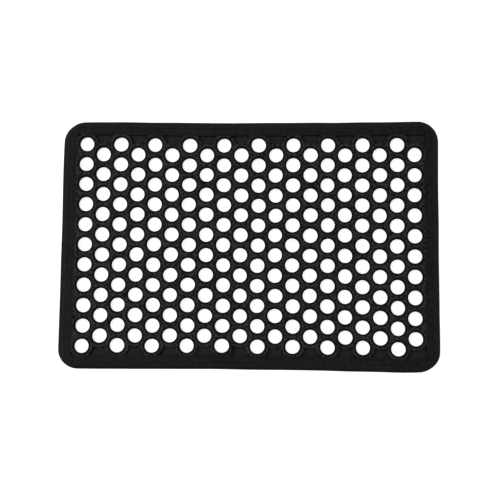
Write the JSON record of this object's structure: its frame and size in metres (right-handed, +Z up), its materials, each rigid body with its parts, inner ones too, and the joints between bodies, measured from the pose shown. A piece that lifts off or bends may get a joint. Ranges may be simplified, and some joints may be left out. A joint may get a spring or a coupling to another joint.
{
  "type": "door mat",
  "caption": "Flat rectangular rubber door mat with staggered round drain holes, raised on drain feet, in a bevelled border with rounded corners.",
  "frame": {"origin": "on the floor, under the middle of the mat", "axes": "+X along the mat's length, +Y towards its back long edge, +Z up from the floor"},
  "size_m": [0.6, 0.396, 0.01],
  "materials": {
    "panel_rubber": "matte black moulded rubber, slightly shiny on the ring edges",
    "border_rubber": "satin black moulded rubber with faint lines along the border"
  },
  "bodies": {
    "root": {"ring_panel": "panel_rubber", "front_strip": "border_rubber", "right_strip": "border_rubber", "back_strip": "border_rubber", "left_strip": "border_rubber", "front_left_corner": "border_rubber", "front_right_corner": "border_rubber", "back_left_corner": "border_rubber", "back_right_corner": "border_rubber"}
  },
  "joints": []
}
